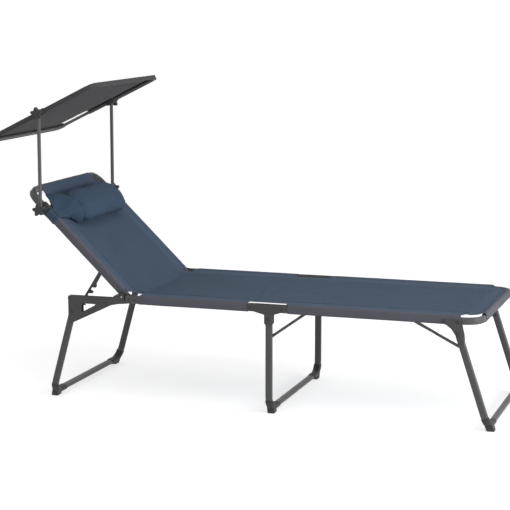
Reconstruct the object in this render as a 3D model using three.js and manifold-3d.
// A three-legged folding camping lounger with a reclining back, a head pillow and a sunshade.
// Millimetres. +X runs to the foot end, +Y to the lying person's left, +Z up, floor at z = 0.
// The model is built around the middle leg and shifted at the end, so that the origin lies
// on the floor under the middle of everything.

import * as THREE from 'three';
import { mergeVertices } from 'three/addons/utils/BufferGeometryUtils.js';
import Module from 'manifold-3d';

const wasm = await Module();
wasm.setup();

const degree = Math.PI / 180;
const half = (value) => value / 2;

// Fits and roundness
const fit = 0.3; // gap between two pieces that touch
const holeFit = 0.3; // radial play of a pin in its hole
const cutOver = 2; // how far a cutting tool runs past the face that it cuts
const weld = 1e-4; // vertices closer than this are one
const ovalSteps = 4; // sides of each round end of a flat-oval tube
const bendSteps = 5; // sides of each tube bend
const pinSides = 10;
const tubeSides = 14;

// Flat-oval frame tube
const tubeTall = 30;
const tubeThin = 15;
const tubeWall = 1.5;

// Seat section: the two side rails
const railHalf = 315; // centre of the bed to the centre of a rail
const railHeight = 390; // floor to the centre of a rail
const reclineSetback = 562; // middle leg to the backrest pivot
const railEndGap = 14; // backrest pivot to the head end of the rails
const seatLength = reclineSetback - railEndGap; // middle leg to the head end of the rails
const seatRailShort = 46; // middle leg to the foot end of the rails

// Sleeves and panels of the padded fabric
const sleeveCloth = 1.2;
const marginCloth = 3; // the unpadded margin
const padThick = 11;
const padSag = 3; // how far the middle of a panel hangs below its edge
const panelDrop = 1; // top of the margin below the top of the tube
const marginWidth = 74; // rail's centre to the edge of the padding
const padHalf = railHalf - marginWidth;
const padHeadInset = 34; // the padding's head edge in from the head tube's centre
const padEdge = 8; // width of the pad's rounded edge
const seamTuck = 1.2; // how far the pad's edge is drawn in at its seam

// Fold between the seat section and the foot section
const foldSetback = 66; // middle leg to the fold pin, towards the head
const foldDrop = 3; // fold pin below the rail's centre
const foldClear = 59; // panel cut back from the fold pin, so that the folded halves pass
const sleeveStopAtFold = 12; // sleeve cut back from the fold pin

// Foot section
const footLength = 757; // middle leg to the centre of the end tube
const footRailShort = 30; // middle leg to the head end of the foot rails
const footBend = 60;
const footMargin = 45; // unpadded flap in front of the end tube
const footSleeveStart = 70;
const cornerCutSide = 73; // cloth corner cut off, along the rail
const cornerCutEnd = 50; // and along the end tube
const notchDepth = 50; // cloth cut in beside the middle bracket

// Backrest
const reclineRise = 9; // backrest pivot above the rail's centre
const reclineHeight = railHeight + reclineRise;
const reclineRest = 44; // degrees above level, the top notch
const backInset = 19.5; // the backrest's tube runs this far inside the rail
const backHalf = railHalf - backInset;
const backLength = 530; // pivot to the centre of the head tube
const backTail = 20; // tube past the pivot
const backRise = 5; // tube's centre above the pivot, square to the backrest
const backBend = 65;
const backPanelStart = 40;
const backSleeveEnd = 423;
const backCornerEnd = 52;
const hingeOpening = 63; // backrest pivot to the head edge of the seat cloth
const seatPanelStart = reclineSetback - hingeOpening;

// Brackets: pairs of pressed plates with rivets through both
const plateThick = 2;
const rearOuterFace = railHalf + half(tubeThin) + fit;
const rearInnerFace = railHalf - half(tubeThin) - fit;
const sleevedOuterFace = rearOuterFace + sleeveCloth + fit; // plates over the cloth sleeves
const sleevedInnerFace = rearInnerFace - sleeveCloth - fit;
const rivetRadius = 3;
const rivetHead = 6;
const rivetHeadThick = 1.5;
const pivotRadius = 4;
const pivotHead = 7;
const pivotHeadThick = 2.4;
const spacerRadius = 4;

// Legs: U frames of the same tube, the long side of the tube towards the head and foot
const legHalf = railHalf; // the legs stand under the rails
const legBend = 50;
const barHeight = 20; // floor to the centre of the floor bar
const legTop = 14; // tube above the leg's pivot
const rearLegTop = 34;
const rearLegReach = 200; // backrest pivot to the rear leg's pivot
const rearLegX = -reclineSetback - rearLegReach;
const rearLegDrop = 56; // each leg's pivot below the rail's centre
const rearLegZ = railHeight - rearLegDrop;
const rearLegLean = 15.3; // degrees, towards the head
const midLegDrop = 40;
const midLegZ = railHeight - midLegDrop;
const footLegInset = 74.5; // end tube to the foot leg's pivot
const footLegX = footLength - footLegInset;
const footLegDrop = 48;
const footLegZ = railHeight - footLegDrop;
const footLegLean = 18.4; // degrees, towards the foot
const legStopAlong = 28; // the stop that the rear leg's top leans on, above its pivot

// Foot pads
const padWall = 3;
const padUpLeg = 6; // above the start of the bend
const padAlongBar = 18; // past the end of the bend
const padHalfWidth = 14.5;
const padFloorReach = 60; // the sole is drawn this far down, then trimmed level with the floor
const padSoleRise = 11; // how far up the bend the sole starts

// Ratchet struts
const strutAlong = 130; // backrest pivot to the strut's pivot
const strutRise = 3;
const strutThick = 3;
const strutGap = 2.5; // between the backrest's tube and the strut
const strutFace = backHalf - half(tubeThin) - strutGap; // outer face
const strutHalf = 8;
const strutTeeth = 14; // tooth tips from the strut's middle line
const strutTail = 27;
const ratchetPinReach = 24; // the pin from the rear leg's pivot, towards the foot
const ratchetPinRise = 12; // and up
const ratchetPinX = rearLegX + ratchetPinReach;
const ratchetPinZ = rearLegZ + ratchetPinRise;
const ratchetPinPast = 1.5; // the pin stands out past the strut
const ratchetPinInner = strutFace - strutThick - ratchetPinPast;
const notchGrip = 5; // pin's centre from the strut's middle line
const notchLength = 4.6;
const notchMouth = 14;
const notchAngles = [35, 20, 8]; // the lower settings of the backrest, degrees

// Jackknife stays
const stayHalf = 6;
const stayThick = 2;
const stayGap = 4.1; // between a leg's inner side and the lower link
const stayLowerFace = legHalf - half(tubeThin) - stayGap; // outer face of the lower link
const stayUpperFace = stayLowerFace - stayThick - fit;
const stayEyeHole = 2.4;
const midStayUp = 68; // leg pivot to the stay's lower pivot
const midStayRailX = 150;
const midStayDrop = 1; // the stay's upper pivot below the rail's centre
const midStayRailZ = railHeight - midStayDrop;
const footStayUp = 60;
const footStayReach = 176.5; // leg pivot back to the stay's upper pivot
const footStayRailX = footLegX - footStayReach;
const footStayDrop = 6;
const footStayRailZ = railHeight - footStayDrop;

// Pillow on its band
const pillowAlong = 388; // backrest pivot to the middle of the pillow
const pillowHalfLength = 220;
const pillowHalfDepth = 74;
const pillowHeight = 72;
const pillowSink = 12; // how far the roll is pressed flat where it lies on its band
const bandLength = 70;
const bandCloth = 1.5;
const pillowEndPower = 10; // a higher power makes a blunter end
const pillowTaperShare = 0.05; // how much slimmer the roll is at its ends
const pillowRings = 22;
const pillowSides = 24;

// Sunshade
const postRadius = 6;
const postWall = 1.2;
const postOffset = 39.5; // the backrest's side tube to the post
const postY = backHalf + postOffset;
const postAlong = 441; // backrest pivot to the lower clamp
const postLength = 354; // between the two clamps
const postEnd = 14; // tube past each clamp bolt
const boltRadius = 3;
const clampHalf = 17;
const clampWall = 4;
const bossRadius = 13;
const knobOffset = 11; // the post's centre to the knob's inner face
const knobInner = postY + knobOffset;
const knobThick = 13;
const knobRadius = 19;
const knobLobe = 4.5;
const knobLobes = 5;
const knobSides = 40;
const hubRadius = 9;
const canopyTilt = 26.3; // degrees
const canopyBack = 255; // clamp to the head edge
const canopyFront = 233; // clamp to the foot edge
const canopyInset = 12; // the post's centre to the canopy's edge
const canopyHalf = postY - canopyInset;
const canopyCloth = 1.2;
const canopyTubeTall = 15;
const canopyTubeThin = 9;
const canopyCorner = 30;
const skirtDrop = 9; // hem below the middle of the frame tube
const canopyNotch = 21; // half the cut in the hem for a clamp
const topClampHalf = 16;
const topClampInner = 12;
const frameLap = 1; // overlap where the two halves of the frame are joined

// Materials
const steel = { color: 0x46474a, roughness: 0.5, metalness: 0.55 };
const bare = { color: 0x6b6d70, roughness: 0.4, metalness: 0.8 };
const plastic = { color: 0x3a3b3d, roughness: 0.6, metalness: 0.0 };
const navy = { color: 0x3d4a5c, roughness: 0.95, metalness: 0.0 };
const darkCloth = { color: 0x46464a, roughness: 0.95, metalness: 0.0 };

// Solids

function solidFrom(geometry) {
  const plain = geometry.clone();
  plain.deleteAttribute('normal');
  plain.deleteAttribute('uv');
  const merged = mergeVertices(plain, weld);
  const index = merged.index.array;
  const faces = [];
  for (let i = 0; i < index.length; i += 3) {
    const [a, b, c] = [index[i], index[i + 1], index[i + 2]];
    if (a !== b && b !== c && c !== a) faces.push([a, b, c]);
  }
  const build = (list) =>
    new wasm.Manifold(
      new wasm.Mesh({
        numProp: 3,
        vertProperties: Float32Array.from(merged.attributes.position.array),
        triVerts: Uint32Array.from(list.flat()),
      })
    );
  const solid = build(faces);
  if (solid.volume() > 0) return solid;
  return build(faces.map(([a, b, c]) => [a, c, b]));
}

const join = (solids) => solids.reduce((whole, solid) => whole.add(solid));
const cut = (solid, tools) => tools.reduce((whole, tool) => whole.subtract(tool), solid);
const moved = (solid, matrix) => solid.transform(matrix.elements);

function mirrored(solid) {
  return moved(solid, new THREE.Matrix4().makeScale(1, -1, 1));
}

function meshOf(name, solid, finish) {
  const source = solid.getMesh();
  const geometry = new THREE.BufferGeometry();
  const points = Float32Array.from(source.vertProperties);
  geometry.setAttribute('position', new THREE.BufferAttribute(points, 3));
  geometry.setIndex(new THREE.BufferAttribute(Uint32Array.from(source.triVerts), 1));
  geometry.computeVertexNormals();
  const mesh = new THREE.Mesh(geometry, new THREE.MeshStandardMaterial(finish));
  mesh.name = name;
  return mesh;
}

// Outlines

function circle(radius, sides, x = 0, y = 0) {
  return Array.from({ length: sides }, (_, i) => {
    const turn = (2 * Math.PI * (i + 0.5)) / sides;
    return [x + radius * Math.cos(turn), y + radius * Math.sin(turn)];
  });
}

// A flat oval, its long side along the second coordinate
function flatOval(tall, thin, x = 0, y = 0) {
  const radius = half(thin);
  const rise = half(tall - thin);
  const points = [];
  for (const [start, lift] of [[0, rise], [Math.PI, -rise]]) {
    for (let i = 0; i <= ovalSteps; i++) {
      const turn = start + (Math.PI * i) / ovalSteps;
      points.push([x + radius * Math.cos(turn), y + lift + radius * Math.sin(turn)]);
    }
  }
  return points;
}

function roundedBox(x0, x1, y0, y1, radius, steps = bendSteps) {
  const points = [];
  const corners = [[x1, y1, 0], [x0, y1, 1], [x0, y0, 2], [x1, y0, 3]];
  for (const [x, y, quarter] of corners) {
    const cx = x - radius * Math.sign(x - half(x0 + x1));
    const cy = y - radius * Math.sign(y - half(y0 + y1));
    for (let i = 0; i <= steps; i++) {
      const turn = half(Math.PI) * (quarter + i / steps);
      points.push([cx + radius * Math.cos(turn), cy + radius * Math.sin(turn)]);
    }
  }
  return points;
}

// Extrusions: along X from an outline in (y, z), along Y from (x, z), along Z from (x, y)

function extruded(points, holes, depth) {
  const vectors = (list) => list.map(([x, y]) => new THREE.Vector2(x, y));
  const shape = new THREE.Shape(vectors(points));
  for (const hole of holes) shape.holes.push(new THREE.Path(vectors(hole)));
  return new THREE.ExtrudeGeometry(shape, { depth, steps: 1, bevelEnabled: false });
}

function alongX(points, x0, x1, holes = []) {
  const matrix = new THREE.Matrix4().makeBasis(
    new THREE.Vector3(0, 1, 0),
    new THREE.Vector3(0, 0, 1),
    new THREE.Vector3(1, 0, 0)
  );
  matrix.setPosition(x0, 0, 0);
  return solidFrom(extruded(points, holes, x1 - x0).applyMatrix4(matrix));
}

function alongY(points, y0, y1, holes = []) {
  const matrix = new THREE.Matrix4().makeBasis(
    new THREE.Vector3(1, 0, 0),
    new THREE.Vector3(0, 0, 1),
    new THREE.Vector3(0, -1, 0)
  );
  matrix.setPosition(0, y1, 0);
  return solidFrom(extruded(points, holes, y1 - y0).applyMatrix4(matrix));
}

function alongZ(points, z0, z1, holes = []) {
  const matrix = new THREE.Matrix4().makeTranslation(0, 0, z0);
  return solidFrom(extruded(points, holes, z1 - z0).applyMatrix4(matrix));
}

const rod = (radius, y0, y1, x, z, sides = pinSides) => alongY(circle(radius, sides, x, z), y0, y1);

function block(x0, x1, y0, y1, z0, z1) {
  const box = new THREE.BoxGeometry(x1 - x0, y1 - y0, z1 - z0);
  return solidFrom(box.translate(half(x0 + x1), half(y0 + y1), half(z0 + z1)));
}

// A path through given stations, each with its own direction
class StationPath extends THREE.Curve {
  constructor(stations) {
    super();
    this.stations = stations;
  }
  station(share) {
    return this.stations[Math.round(share * (this.stations.length - 1))];
  }
  getPointAt(share, target = new THREE.Vector3()) {
    return target.copy(this.station(share).point);
  }
  getTangentAt(share, target = new THREE.Vector3()) {
    return target.copy(this.station(share).direction);
  }
}

const station = (x, y, turn) => ({
  point: new THREE.Vector3(x, y, 0),
  direction: new THREE.Vector3(Math.cos(turn), Math.sin(turn), 0),
});

// Stations of one bend of a U that opens towards -X, at its lower (-Y) side
function bendStations(length, halfWidth, bend) {
  return Array.from({ length: bendSteps + 1 }, (_, i) => {
    const turn = (half(Math.PI) * i) / bendSteps;
    const x = length - bend + bend * Math.sin(turn);
    return station(x, -halfWidth + bend - bend * Math.cos(turn), turn);
  });
}

function uStations(start, length, halfWidth, bend) {
  const first = bendStations(length, halfWidth, bend);
  const second = first
    .map(({ point, direction }) => ({
      point: new THREE.Vector3(point.x, -point.y, 0),
      direction: new THREE.Vector3(-direction.x, direction.y, 0),
    }))
    .reverse();
  return [station(start, -halfWidth, 0), ...first, ...second, station(start, halfWidth, Math.PI)];
}

// Sweep a flat oval along the stations, its long side square to the plane of the path
function sweptOval(stations, tall, thin) {
  const outline = flatOval(tall, thin).map(([x, y]) => new THREE.Vector2(y, x));
  const path = new StationPath(stations);
  const steps = stations.length - 1;
  const options = { steps, extrudePath: path, bevelEnabled: false };
  return solidFrom(new THREE.ExtrudeGeometry(new THREE.Shape(outline), options));
}

function uTube(start, length, halfWidth, bend) {
  const outer = sweptOval(uStations(start, length, halfWidth, bend), tubeTall, tubeThin);
  const inside = uStations(start - cutOver, length, halfWidth, bend);
  const bore = sweptOval(inside, tubeTall - 2 * tubeWall, tubeThin - 2 * tubeWall);
  return outer.subtract(bore);
}

// Directions in the (x, z) plane, in degrees from +X towards +Z
const turned = ([x, z], degrees) => {
  const [c, s] = [Math.cos(degrees * degree), Math.sin(degrees * degree)];
  return [x * c - z * s, x * s + z * c];
};
const angleOf = ([x, z]) => Math.atan2(z, x) / degree;

// A group whose own +X points at the given angle in the (x, z) plane
function turnedGroup(x, z, degrees) {
  const group = new THREE.Group();
  group.position.set(x, 0, z);
  group.rotation.y = -degrees * degree;
  return group;
}

const model = new THREE.Group();
model.name = 'camping_lounger';

// Put one piece on each side; the solid is drawn at the -Y side, which is the person's right
function bothSides(group, name, solid, finish) {
  group.add(meshOf(`${name}_right`, solid, finish));
  group.add(meshOf(`${name}_left`, mirrored(solid), finish));
}

// Mirror a solid drawn with positive y values to the -Y side
const rightSide = mirrored;

// Sections of the padded cloth

const tubeTopZ = half(tubeTall);
const sleeveTall = tubeTall + 2 * (fit + sleeveCloth);
const sleeveThin = tubeThin + 2 * (fit + sleeveCloth);
const passTall = tubeTall + 2 * fit;
const passThin = tubeThin + 2 * fit;

function sleeveRing(y, x0, x1) {
  return alongX(flatOval(sleeveTall, sleeveThin, y), x0, x1);
}

function sleevePass(y, x0, x1) {
  return alongX(flatOval(passTall, passThin, y), x0 - cutOver, x1 + cutOver);
}

// The pad's cross-section: rounded edges drawn in at the seam and a shallow sag
function padOutline(halfWidth) {
  const top = tubeTopZ - panelDrop + half(marginCloth);
  const crownShares = [1, 0.72, 0.36, 0, -0.36, -0.72, -1];
  const inner = halfWidth - padEdge;
  const sag = (share) => top - padSag * (1 - share * share);
  const upper = crownShares.map((share) => [inner * share, sag(share)]);
  const lower = crownShares.map((share) => [inner * share, sag(share) - padThick]).reverse();
  const seam = top - half(marginCloth) - seamTuck;
  return [[halfWidth, seam], ...upper, [-halfWidth, seam], ...lower];
}

function marginSlab(halfWidth, x0, x1) {
  const top = tubeTopZ - panelDrop;
  return block(x0, x1, -halfWidth, halfWidth, top - marginCloth, top);
}

function rivetHoles(places, radius) {
  return places.flatMap(([x, z, y0, y1]) => [rod(radius, -y1, -y0, x, z), rod(radius, y0, y1, x, z)]);
}

// Seat section

const seat = new THREE.Group();
seat.position.z = railHeight;
model.add(seat);
const inSeat = (x, z) => [x, z - railHeight];
const reclineAt = inSeat(-reclineSetback, reclineHeight);
const foldAt = [-foldSetback, -foldDrop];
const rearRailRivets = [27, 51].map((x) => [x - reclineSetback, 0]);

const railInner = railHalf - half(tubeThin);
const railOuter = railHalf + half(tubeThin);

function seatRail() {
  const outer = flatOval(tubeTall, tubeThin, railHalf);
  const bore = flatOval(tubeTall - 2 * tubeWall, tubeThin - 2 * tubeWall, railHalf);
  const rail = alongX(outer, -seatLength, -seatRailShort, [bore]);
  const hole = (radius, [x, z]) => rod(radius + holeFit, railInner - cutOver, railOuter + cutOver, x, z);
  return cut(rail, [hole(pivotRadius, foldAt), ...rearRailRivets.map((at) => hole(rivetRadius, at))]);
}
bothSides(seat, 'seat_rail', rightSide(seatRail()), steel);

// Rear bracket: the plates carry the backrest pivot, the rear leg, its stop and the ratchet pin
const rearLegAt = inSeat(rearLegX, rearLegZ);
const ratchetAt = inSeat(ratchetPinX, ratchetPinZ);
const rearDown = -90 - rearLegLean;

function rearStopAt() {
  const [ux, uz] = turned([legStopAlong, -half(tubeTall) - fit - spacerRadius], rearDown + 180);
  return [rearLegAt[0] + ux, rearLegAt[1] + uz];
}

// Its outline is drawn from the backrest's pivot along x and from the rail's centre along z
const rearTop = 3;
const rearArm = -24;
const rearHead = -214;
const rearToe = -96;
const rearElbow = -42;
const rearWedgeX = -22;
const rearWedgeZ = 17;
const rearOuterEnd = 9;
const rearInnerEnd = 62;
const rearWindow = [[-160, -24], [-160, -55], [-146, -49], [-106, -27], [-106, -24]];
const rearSpacers = [[-208, -7], [-62, -16.5]];
const fromRecline = ([x, z]) => [x - reclineSetback, z];

function rearPlate(y0, y1, isInner) {
  const end = isInner ? rearInnerEnd : rearOuterEnd;
  const outline = [
    [rearHead, rearTop],
    [rearHead, rearToe],
    [rearHead + 14, rearToe - 4],
    [rearElbow, rearArm],
    [end, -13],
    [end, 12],
    [6, rearWedgeZ + 3],
    [rearWedgeX, rearWedgeZ],
    [rearElbow, rearTop + 1],
  ];
  return alongY(outline.map(fromRecline), y0, y1, [rearWindow.map(fromRecline)]);
}

function rearBracket() {
  const [o, i] = [rearOuterFace, rearInnerFace];
  const plates = join([rearPlate(o, o + plateThick, false), rearPlate(i - plateThick, i, true)]);
  const spacers = [...rearSpacers.map(fromRecline), rearStopAt()];
  const through = spacers.map(([x, z]) =>
    join([
      rod(spacerRadius, i - plateThick, o + plateThick, x, z),
      rod(rivetHead, o + plateThick - fit, o + plateThick + rivetHeadThick, x, z),
    ])
  );
  const railRivets = rearRailRivets.map(([x, z]) => rod(rivetRadius, i - plateThick, railOuter, x, z));
  const legPin = join([
    rod(pivotRadius, i - plateThick, o + plateThick, ...rearLegAt),
    rod(pivotHead, o + plateThick - fit, o + plateThick + rivetHeadThick, ...rearLegAt),
  ]);
  const bracket = join([plates, legPin, ...through, ...railRivets]);
  const pinHole = rod(pivotRadius + holeFit, i - plateThick - cutOver, o + plateThick + cutOver, ...reclineAt);
  const ratchetHole = rod(pivotRadius + holeFit, i - plateThick - cutOver, i + cutOver, ...ratchetAt);
  return cut(bracket, [pinHole, ratchetHole]);
}
bothSides(seat, 'rear_bracket', rightSide(rearBracket()), steel);

// A pin with a head at each end
function headedPin(radius, head, headThick, innerY, outerY, x, z) {
  return join([
    rod(radius, innerY - headThick, outerY + headThick, x, z),
    rod(head, outerY + fit, outerY + fit + headThick, x, z),
    rod(head, innerY - fit - headThick, innerY - fit, x, z),
  ]);
}

const backInner = backHalf - half(tubeThin);
const backOuter = backHalf + half(tubeThin);
const reclinePin = headedPin(
  pivotRadius, pivotHead, pivotHeadThick, backInner, rearOuterFace + plateThick, ...reclineAt
);
bothSides(seat, 'backrest_pivot_pin', rightSide(reclinePin), bare);

const ratchetPin = join([
  rod(pivotRadius, ratchetPinInner, rearInnerFace, ...ratchetAt),
  rod(pivotHead, rearInnerFace - plateThick - fit - pivotHeadThick, rearInnerFace - plateThick - fit, ...ratchetAt),
]);
bothSides(seat, 'ratchet_pin', rightSide(ratchetPin), bare);

const foldPin = headedPin(
  pivotRadius, pivotHead, pivotHeadThick,
  sleevedInnerFace - plateThick, sleevedOuterFace + plateThick, ...foldAt
);
bothSides(seat, 'fold_pin', rightSide(foldPin), bare);

function seatCloth() {
  const [x0, x1] = [-seatPanelStart, -foldSetback - foldClear];
  const sleeveEnd = -foldSetback - sleeveStopAtFold;
  const sides = [-railHalf, railHalf];
  const cloth = join([
    ...sides.map((y) => sleeveRing(y, x0, sleeveEnd)),
    marginSlab(railHalf, x0, x1),
    alongX(padOutline(padHalf), x0, x1),
  ]);
  const passes = sides.map((y) => sleevePass(y, x0, sleeveEnd));
  return cut(cloth, passes);
}
seat.add(meshOf('seat_cloth', seatCloth(), navy));

// The cloth that bends over the fold, between the two panels
const hingeClothHalf = railHalf - notchDepth;
function foldCloth() {
  const [x0, x1] = [-foldSetback - foldClear + fit, -foldSetback + foldClear - fit];
  return join([
    marginSlab(hingeClothHalf, x0, x1),
    alongX(padOutline(padHalf), x0, x1),
  ]);
}
seat.add(meshOf('fold_cloth', foldCloth(), navy));

// The cloth that bends between the seat and the backrest
function reclineCloth() {
  const bottom = tubeTopZ - panelDrop - padThick + half(marginCloth);
  const top = tubeTopZ - panelDrop;
  const backTop = backRise + tubeTopZ - panelDrop;
  const backBottom = backTop - padThick + half(marginCloth);
  const onBack = (along, rise) => {
    const [x, z] = turned([-along, rise], -reclineRest);
    return [reclineAt[0] + x, reclineAt[1] + z];
  };
  // where a line of the backrest, at this height on it, comes down to the given level
  const meet = (rise, level) => {
    const [x, z] = onBack(0, rise);
    return [x + (z - level) / Math.tan(reclineRest * degree), level];
  };
  const outline = [
    [-seatPanelStart - fit, bottom],
    [-seatPanelStart - fit, top],
    meet(backTop, top),
    onBack(backPanelStart - fit, backTop),
    onBack(backPanelStart - fit, backBottom),
    meet(backBottom, bottom),
  ];
  return alongY(outline.reverse(), -hingeClothHalf, hingeClothHalf);
}
seat.add(meshOf('recline_cloth', reclineCloth(), navy));

// A leg frame with its pads, in a group whose +X runs down the leg

function legFrame(name, x, z, downAngle, topLength, stayUp) {
  const group = turnedGroup(x, z - railHeight, downAngle);
  const slope = Math.abs(Math.sin(downAngle * degree));
  const length = (z - barHeight) / slope;
  const tube = uTube(-topLength, length, legHalf, legBend);
  const [inner, outer] = [legHalf - half(tubeThin) - cutOver, legHalf + half(tubeThin) + cutOver];
  const holes = rivetHoles([[0, 0, inner, outer]], pivotRadius + holeFit);
  if (stayUp) holes.push(...rivetHoles([[stayUp, 0, inner, legHalf]], rivetRadius + holeFit));
  group.add(meshOf(`${name}_frame`, cut(tube, holes), steel));

  const pad = legPad(length, downAngle, z);
  bothSides(group, `${name}_pad`, pad, plastic);
  return group;
}

function legPad(length, downAngle, pivotZ) {
  const bend = bendStations(length, legHalf, legBend);
  const start = length - legBend - padUpLeg;
  const end = -legHalf + legBend + padAlongBar;
  const wrap = [station(start, -legHalf, 0), ...bend, station(length, end, half(Math.PI))];
  const sleeve = sweptOval(wrap, tubeTall + 2 * padWall, tubeThin + 2 * padWall);
  const innerX = length + half(tubeThin);
  const sole = alongZ(
    [
      [length - padSoleRise, -legHalf + padSoleRise],
      [length + padFloorReach, -legHalf + half(legBend) + padSoleRise],
      [length + padFloorReach, end],
      [innerX, end],
      [innerX - half(tubeThin), -legHalf + half(legBend)],
    ],
    -padHalfWidth,
    padHalfWidth
  );
  const longer = [
    station(start - cutOver, -legHalf, 0), ...bend, station(length, end + cutOver, half(Math.PI)),
  ];
  const bore = sweptOval(longer, passTall, passThin);
  const lift = new THREE.Matrix4().makeRotationY(-downAngle * degree).setPosition(0, 0, pivotZ);
  const reach = footLength;
  const ground = block(-reach, reach, -reach, reach, -reach, 0);
  const groundHere = moved(ground, lift.clone().invert());
  return cut(sleeve.add(sole), [bore, groundHere]);
}

const rearLeg = legFrame('rear_leg', rearLegX, rearLegZ, rearDown, rearLegTop, 0);
seat.add(rearLeg);

// Foot section, which folds up and over about the fold pins

const foot = new THREE.Group();
seat.add(foot);
const footRivet = [50, -1];

function footTube() {
  const tube = uTube(footRailShort, footLength, railHalf, footBend);
  const [y0, y1] = [railInner - cutOver, railOuter + cutOver];
  const all = [footRivet, ...footLegRivets].map(([x, z]) => [x, z, y0, y1]);
  const stays = [
    [midStayRailX, midStayRailZ - railHeight, y0, railHalf],
    [footStayRailX, footStayRailZ - railHeight, y0, railHalf],
  ];
  return cut(tube, rivetHoles([...all, ...stays], rivetRadius + holeFit));
}

const footLegRivets = [-48.5, -0.5].map((x) => [footLegX + x, -5]);
foot.add(meshOf('foot_tube', footTube(), steel));

function platePair(outline, pins, rivets) {
  const [o, i] = [sleevedOuterFace, sleevedInnerFace];
  const plates = [alongY(outline, o, o + plateThick), alongY(outline, i - plateThick, i)];
  const stud = (radius, head, [x, z]) =>
    join([
      rod(radius, i - plateThick, o + plateThick, x, z),
      rod(head, o + plateThick - fit, o + plateThick + rivetHeadThick, x, z),
    ]);
  return join([
    ...plates,
    ...pins.map((at) => stud(pivotRadius, pivotHead, at)),
    ...rivets.map((at) => stud(rivetRadius, rivetHead, at)),
  ]);
}

const midLegAt = inSeat(0, midLegZ);

function midBracket() {
  const outline = [
    [-76, 14], [-76, -6], [-68, -10], [-15.5, -23], [-15.5, -54], [-9, -61],
    [9, -61], [15.5, -54], [15.5, -23], [54, -10], [67, -6], [67, 14],
  ];
  const bracket = platePair(outline, [midLegAt], [footRivet]);
  const [y0, y1] = [sleevedInnerFace - plateThick - cutOver, sleevedOuterFace + plateThick + cutOver];
  return bracket.subtract(rod(pivotRadius + holeFit, y0, y1, ...foldAt));
}
bothSides(foot, 'mid_bracket', rightSide(midBracket()), steel);

const footLegAt = inSeat(footLegX, footLegZ);

function footBracket() {
  const outline = [
    [-58.5, 3], [-58.5, -12], [-42.5, -17], [-23.5, -31], [-9.5, -52], [-2.5, -74], [1.5, -86],
    [17.5, -86], [21.5, -78], [18.5, -50], [10.5, -18], [9.5, 3],
  ].map(([x, z]) => [footLegX + x, z]);
  return platePair(outline, [footLegAt], footLegRivets);
}
bothSides(foot, 'foot_bracket', rightSide(footBracket()), steel);

function footCloth() {
  const panelStart = -foldSetback + foldClear;
  const sides = [-railHalf, railHalf];
  const sideEnd = footLength - footBend;
  const endHalf = railHalf - footBend;
  const endAlong = (tall, thin, over) =>
    moved(
      alongX(flatOval(tall, thin), -endHalf - over, endHalf + over),
      new THREE.Matrix4().makeRotationZ(half(Math.PI)).setPosition(footLength, 0, 0)
    );
  const cloth = join([
    ...sides.map((y) => sleeveRing(y, footSleeveStart, sideEnd)),
    marginSlab(railHalf, footSleeveStart, footLength - footBend),
    marginSlab(endHalf, footLength - footBend - cutOver, footLength),
    marginSlab(hingeClothHalf, panelStart, footSleeveStart + cutOver),
    alongX(padOutline(padHalf), panelStart, footLength - footMargin),
    endAlong(sleeveTall, sleeveThin, 0),
  ]);
  const corner = (side) => {
    const reach = railHalf + footBend;
    const points = [
      [footLength + cutOver - cornerCutSide - cutOver, side * reach],
      [footLength - cornerCutSide, side * (railHalf - half(sleeveThin) - fit)],
      [footLength - half(sleeveThin) - fit, side * (railHalf - cornerCutEnd)],
      [footLength + footBend, side * (railHalf - cornerCutEnd)],
      [footLength + footBend, side * reach],
    ];
    return alongZ(side > 0 ? points.reverse() : points, -tubeTall, tubeTall);
  };
  const rivets = footLegRivets.map(([x, z]) => [x, z, railInner - 2 * cutOver, railOuter + 2 * cutOver]);
  const stays = [
    [midStayRailX, midStayRailZ - railHeight, railInner - 2 * cutOver, railHalf],
    [footStayRailX, footStayRailZ - railHeight, railInner - 2 * cutOver, railHalf],
  ];
  return cut(cloth, [
    ...sides.map((y) => sleevePass(y, footSleeveStart, sideEnd)),
    endAlong(passTall, passThin, cutOver),
    corner(-1),
    corner(1),
    ...rivetHoles(rivets, rivetRadius + holeFit),
    ...rivetHoles(stays, rivetHead + holeFit),
  ]);
}
foot.add(meshOf('foot_cloth', footCloth(), navy));

const midLeg = legFrame('mid_leg', 0, midLegZ, -90, legTop, midStayUp);
foot.add(midLeg);
const footDown = -90 + footLegLean;
const footLeg = legFrame('foot_leg', footLegX, footLegZ, footDown, legTop, footStayUp);
foot.add(footLeg);

// Jackknife stays: two flat links that lie in one line while the leg stands

function stayLink(length, face, pinEnd) {
  const bar = [
    ...circle(stayHalf, pinSides).filter(([x]) => x < 0),
    ...circle(stayHalf, pinSides, length).filter(([x]) => x > length),
  ].sort((a, b) => Math.atan2(a[1], a[0] - half(length)) - Math.atan2(b[1], b[0] - half(length)));
  const link = alongY(bar, face - stayThick, face, [circle(stayEyeHole, pinSides, length).reverse()]);
  const shank = rod(rivetRadius, face - stayThick, pinEnd, 0, 0);
  const collar = rod(rivetHead, face - fit, railInner - fit, 0, 0);
  const head = rod(rivetHead, face - stayThick - rivetHeadThick, face - stayThick + fit, 0, 0);
  return join([link, shank, collar, head]);
}

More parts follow.
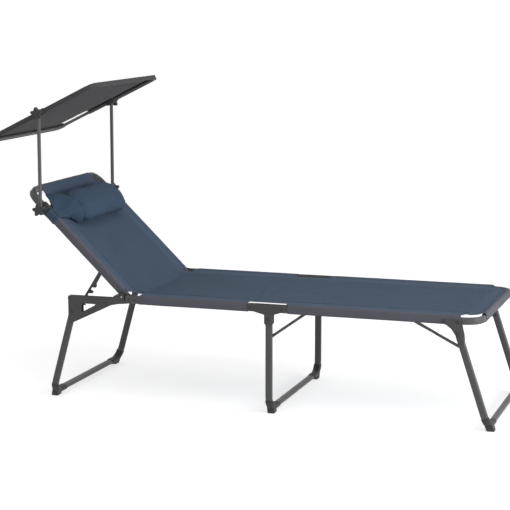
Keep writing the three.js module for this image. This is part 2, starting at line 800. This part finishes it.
function addStay(name, leg, stayUp, legAt, downAngle, railAt) {
  const onLeg = turned([stayUp, 0], downAngle);
  const lowerAt = [legAt[0] + onLeg[0], legAt[1] + onLeg[1]];
  const reach = [lowerAt[0] - railAt[0], lowerAt[1] - railAt[1]];
  const linkLength = half(Math.hypot(...reach));
  const aim = angleOf(reach);
  const wallEnd = railInner + tubeWall + cutOver;

  const upper = turnedGroup(...railAt, aim);
  bothSides(upper, `${name}_stay_upper`, rightSide(stayLink(linkLength, stayUpperFace, wallEnd)), steel);
  foot.add(upper);

  const lower = turnedGroup(stayUp, 0, aim + 180 - downAngle);
  bothSides(lower, `${name}_stay_lower`, rightSide(stayLink(linkLength, stayLowerFace, wallEnd)), steel);
  leg.add(lower);
}

addStay('mid', midLeg, midStayUp, midLegAt, -90, inSeat(midStayRailX, midStayRailZ));
addStay('foot', footLeg, footStayUp, footLegAt, footDown, inSeat(footStayRailX, footStayRailZ));

// Backrest: drawn lying flat towards -X from its pivot, and raised by its group

const back = new THREE.Group();
back.position.set(reclineAt[0], 0, reclineAt[1]);
back.rotation.y = reclineRest * degree;
seat.add(back);

const turnAbout = new THREE.Matrix4().makeRotationZ(Math.PI).setPosition(0, 0, backRise);
const strutPivot = [-strutAlong, strutRise];

function backTube() {
  const tube = moved(uTube(-backTail, backLength, backHalf, backBend), turnAbout);
  const holes = rivetHoles([[0, 0, backInner - cutOver, backOuter + cutOver]], pivotRadius + holeFit);
  const strutHoles = rivetHoles([[...strutPivot, backInner - cutOver, backHalf]], rivetRadius + holeFit);
  return cut(tube, [...holes, ...strutHoles]);
}
back.add(meshOf('back_tube', backTube(), steel));

function backCloth() {
  const sides = [-backHalf, backHalf];
  const endHalf = backHalf - backBend;
  const [x0, x1] = [backPanelStart, backLength - backBend];
  const headAlong = (tall, thin, over) =>
    moved(
      alongX(flatOval(tall, thin), -endHalf - over, endHalf + over),
      new THREE.Matrix4().makeRotationZ(half(Math.PI)).setPosition(backLength, 0, 0)
    );
  const corner = (side) => {
    const reach = backHalf + backBend;
    const points = [
      [backSleeveEnd, side * reach],
      [backSleeveEnd, side * (backInner - clampWall - cutOver)],
      [backLength - half(sleeveThin) - fit, side * (backHalf - backCornerEnd - half(sleeveThin))],
      [backLength + backBend, side * (backHalf - backCornerEnd - half(sleeveThin))],
      [backLength + backBend, side * reach],
    ];
    return alongZ(side > 0 ? points.reverse() : points, -tubeTall, tubeTall);
  };
  const cloth = join([
    ...sides.map((y) => sleeveRing(y, x0, x1)),
    marginSlab(backHalf, x0, x1),
    marginSlab(endHalf, x1 - cutOver, backLength),
    alongX(padOutline(padHalf), x0, backLength - padHeadInset),
    headAlong(sleeveTall, sleeveThin, 0),
  ]);
  const strutHole = [strutAlong, strutRise - backRise, backInner - 2 * cutOver, backHalf];
  const open = cut(cloth, [
    ...sides.map((y) => sleevePass(y, x0, x1)),
    headAlong(passTall, passThin, cutOver),
    corner(-1),
    corner(1),
    ...rivetHoles([strutHole], rivetHead + holeFit),
  ]);
  return moved(open, turnAbout);
}
back.add(meshOf('back_cloth', backCloth(), navy));

// Ratchet strut: hangs from the backrest, a notch on its foot-end side rests on the ratchet pin

function strutReach(reclineAngle) {
  const [qx, qz] = turned(strutPivot, -reclineAngle);
  const [px, pz] = [reclineAt[0] + qx, reclineAt[1] + qz];
  return [ratchetAt[0] - px, ratchetAt[1] - pz];
}

const strutAim = (() => {
  const reach = strutReach(reclineRest);
  return angleOf(reach) - Math.asin(notchGrip / Math.hypot(...reach)) / degree;
})();

function ratchetStrut() {
  const notchAt = (angle) => Math.sqrt(Math.hypot(...strutReach(angle)) ** 2 - notchGrip ** 2);
  const top = notchAt(reclineRest);
  const teethStart = notchAt(Math.min(...notchAngles)) - 2 * notchMouth;
  const outline = [
    ...circle(strutHalf, tubeSides).filter(([x]) => x < 0),
    [teethStart, -strutHalf],
    [top + strutTail - strutHalf, -strutHalf],
    [top + strutTail, 0],
    [top + strutTail - half(strutHalf), strutHalf],
    [top + notchMouth, strutTeeth],
    [teethStart + strutHalf, strutTeeth],
    [teethStart, strutHalf],
  ].sort((a, b) => {
    const middle = half(top);
    return Math.atan2(a[1], a[0] - middle) - Math.atan2(b[1], b[0] - middle);
  });
  const plate = alongY(outline, strutFace - strutThick, strutFace);
  const edge = strutTeeth + cutOver;
  const notches = [reclineRest, ...notchAngles].map((angle) => {
    const at = notchAt(angle);
    const floor = notchGrip - notchLength;
    return alongY(
      [[at + notchLength, floor], [at + notchLength, edge], [at - notchMouth, edge], [at - notchLength, floor]],
      strutFace - strutThick - cutOver,
      strutFace + cutOver
    );
  });
  const shank = rod(rivetRadius, strutFace - strutThick, backInner + tubeWall + cutOver, 0, 0);
  const collar = rod(rivetHead, strutFace - fit, backInner - fit, 0, 0);
  const head = rod(rivetHead, strutFace - strutThick - rivetHeadThick, strutFace - strutThick + fit, 0, 0);
  return join([cut(plate, notches), shank, collar, head]);
}

const strut = turnedGroup(...strutPivot, strutAim + reclineRest);
bothSides(strut, 'ratchet_strut', rightSide(ratchetStrut()), steel);
back.add(strut);

// Pillow roll on a wide band that goes round the backrest

const pillowGroup = new THREE.Group();
pillowGroup.position.set(-pillowAlong, 0, backRise);
back.add(pillowGroup);

function pillowBand() {
  const innerZ = half(sleeveTall) + fit;
  const innerY = backHalf + half(sleeveThin) + fit;
  const round = (grow) =>
    roundedBox(-innerY - grow, innerY + grow, -innerZ - grow, innerZ + grow, half(sleeveThin) + fit + grow, ovalSteps);
  return alongX(round(bandCloth), -half(bandLength), half(bandLength), [round(0).reverse()]);
}
pillowGroup.add(meshOf('pillow_band', pillowBand(), navy));

// The pillow's radius along its length: full in the middle, drawn in to a soft rounded end
function pillowShape(share) {
  const end = Math.max(0, 1 - Math.abs(share) ** pillowEndPower);
  return (1 - pillowTaperShare * share * share) * Math.sqrt(end);
}

function pillow() {
  const profile = [];
  for (let i = 0; i <= pillowRings; i++) {
    const share = -Math.cos((Math.PI * i) / pillowRings);
    profile.push(new THREE.Vector2(i % pillowRings ? pillowShape(share) : 0, share));
  }
  const lathe = new THREE.LatheGeometry(profile, pillowSides);
  const centre = half(pillowHeight);
  const matrix = new THREE.Matrix4().makeScale(pillowHalfDepth, pillowHalfLength, centre);
  const roll = solidFrom(lathe.applyMatrix4(matrix));
  const lift = half(sleeveTall) + fit + bandCloth + fit;
  const raised = roll.translate([0, 0, lift + centre - pillowSink]);
  const reach = 2 * pillowHalfLength;
  return raised.subtract(block(-reach, reach, -reach, reach, -reach, lift));
}
pillowGroup.add(meshOf('pillow', pillow(), navy));

// Sunshade posts and their clamps

const postAxisInner = postY - postRadius;
const clampOuter = postAxisInner - fit;

function knob() {
  const star = Array.from({ length: knobSides }, (_, i) => {
    const turn = (2 * Math.PI * i) / knobSides;
    const radius = knobRadius + knobLobe * Math.cos(knobLobes * turn);
    return [radius * Math.cos(turn), radius * Math.sin(turn)];
  });
  return join([
    alongY(star, knobInner, knobInner + knobThick),
    rod(hubRadius, postY + postRadius + fit, knobInner + fit, 0, 0),
    rod(boltRadius, clampOuter - knobThick, knobInner + fit, 0, 0),
  ]);
}

function boltHole(y0, y1) {
  return rod(boltRadius + holeFit, y0, y1, 0, 0);
}

const lowerClampGroup = new THREE.Group();
lowerClampGroup.position.set(-postAlong, 0, backRise);
back.add(lowerClampGroup);

function lowerClamp() {
  const wall = clampWall;
  const outline = roundedBox(
    backInner - wall, backOuter + wall, -half(tubeTall) - wall, half(tubeTall) + wall, wall, 2
  );
  const body = alongX(outline, -clampHalf, clampHalf);
  const boss = rod(bossRadius, backOuter, clampOuter, 0, 0, tubeSides);
  const passage = alongX(flatOval(passTall, passThin, backHalf), -clampHalf - cutOver, clampHalf + cutOver);
  return cut(join([body, boss]), [passage, boltHole(clampOuter - 2 * knobThick + boltRadius, clampOuter + cutOver)]);
}
bothSides(lowerClampGroup, 'lower_clamp', rightSide(lowerClamp()), plastic);
bothSides(lowerClampGroup, 'lower_knob', rightSide(knob()), plastic);

// The posts stand upright while the backrest is raised
const posts = turnedGroup(-postAlong, backRise, reclineRest);
back.add(posts);

function post() {
  const tube = new THREE.Matrix4().makeTranslation(0, postY, 0);
  const pipe = moved(
    alongZ(circle(postRadius, tubeSides), -postEnd, postLength + postEnd, [
      circle(postRadius - postWall, tubeSides).reverse(),
    ]),
    tube
  );
  const hole = boltHole(postY - 2 * postRadius, postY + 2 * postRadius);
  return cut(pipe, [hole, hole.translate([0, 0, postLength])]);
}
bothSides(posts, 'post', rightSide(post()), steel);

// Canopy, tilted about the bolts at the tops of the posts

const canopy = turnedGroup(0, postLength, canopyTilt);
posts.add(canopy);
const frameInset = canopyCloth + fit + half(canopyTubeThin);
const frameHalf = canopyHalf - frameInset;

function canopyFrame() {
  const bow = (reach) => {
    const stations = uStations(-frameLap, reach - frameInset, frameHalf, canopyCorner);
    return sweptOval(stations, canopyTubeTall, canopyTubeThin);
  };
  const turn = new THREE.Matrix4().makeRotationZ(Math.PI);
  return bow(canopyFront).add(moved(bow(canopyBack), turn));
}
canopy.add(meshOf('canopy_frame', canopyFrame(), steel));

function canopyClothSolid() {
  const top = half(canopyTubeTall) + fit;
  const corner = canopyCorner + frameInset;
  const outer = roundedBox(-canopyBack, canopyFront, -canopyHalf, canopyHalf, corner);
  const inside = roundedBox(
    -canopyBack + canopyCloth, canopyFront - canopyCloth,
    -canopyHalf + canopyCloth, canopyHalf - canopyCloth, corner - canopyCloth
  );
  const tray = cut(alongZ(outer, -skirtDrop, top + canopyCloth), [
    alongZ(inside, -skirtDrop - cutOver, top),
  ]);
  const cuts = [-1, 1].map((side) => {
    const [near, far] = [frameHalf - topClampInner, canopyHalf + cutOver].map((y) => side * y);
    return block(-canopyNotch, canopyNotch, Math.min(near, far), Math.max(near, far), -skirtDrop - cutOver, top + cutOver);
  });
  return cut(tray, cuts);
}
canopy.add(meshOf('canopy_cloth', canopyClothSolid(), darkCloth));

function topClamp() {
  const wall = clampWall;
  const [y0, y1] = [frameHalf - half(canopyTubeThin), frameHalf + half(canopyTubeThin)];
  const outline = roundedBox(y0 - wall, clampOuter, -half(canopyTubeTall) - wall, half(canopyTubeTall) + wall, wall, 2);
  const body = alongX(outline, -topClampHalf, topClampHalf);
  const passage = alongX(
    flatOval(canopyTubeTall + 2 * fit, y1 - y0 + 2 * fit, frameHalf), -topClampHalf - cutOver, topClampHalf + cutOver
  );
  return cut(body, [passage, boltHole(y1, clampOuter + cutOver)]);
}
bothSides(canopy, 'top_clamp', rightSide(topClamp()), plastic);

function topKnob() {
  const star = knob();
  const long = block(-knobRadius, knobRadius, 0, frameHalf + half(canopyTubeThin) + fit, -knobRadius, knobRadius);
  return star.subtract(long);
}
bothSides(canopy, 'top_knob', rightSide(topKnob()), plastic);

// Put the origin on the floor under the middle of everything
const bounds = new THREE.Box3().setFromObject(model, true);
model.position.set(-half(bounds.min.x + bounds.max.x), 0, 0);

export default model;
